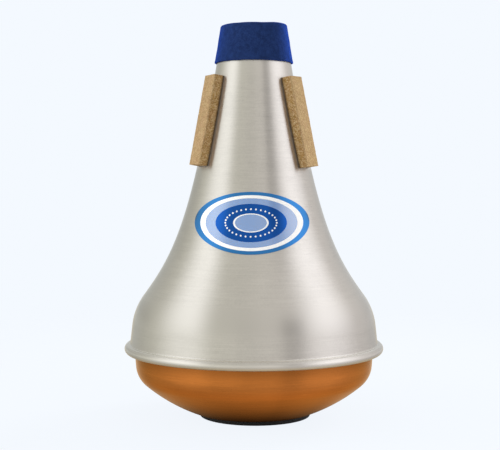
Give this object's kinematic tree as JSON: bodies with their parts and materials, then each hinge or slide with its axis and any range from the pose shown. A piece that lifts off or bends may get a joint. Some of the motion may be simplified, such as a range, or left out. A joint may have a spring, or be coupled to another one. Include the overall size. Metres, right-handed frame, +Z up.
{
  "type": "trumpet straight mute",
  "caption": "Hollow spun-metal straight mute with a flared body, copper base, rubber foot, flocked neck cap and cork strips.",
  "frame": {"origin": "centre of the foot's underside, where the mute stands", "axes": "+Z up the mute's axis from the base to the neck; the front, with the label, faces -Y"},
  "size_m": [0.1054, 0.1054, 0.1585],
  "materials": {
    "brushed_aluminium": "brushed round the axis",
    "brushed_copper": "copper, brushed round the axis",
    "black_rubber": "matt",
    "blue_flock": "short velvety flock",
    "cork": "cut cork, unfinished",
    "printed_label": "satin print"
  },
  "bodies": {
    "root": {"body_shell": "brushed_aluminium", "base_dish": "brushed_copper", "base_foot": "black_rubber", "neck_cap": "blue_flock", "cork_left": "cork", "cork_right": "cork", "cork_rear": "cork", "label": "printed_label"}
  },
  "joints": []
}
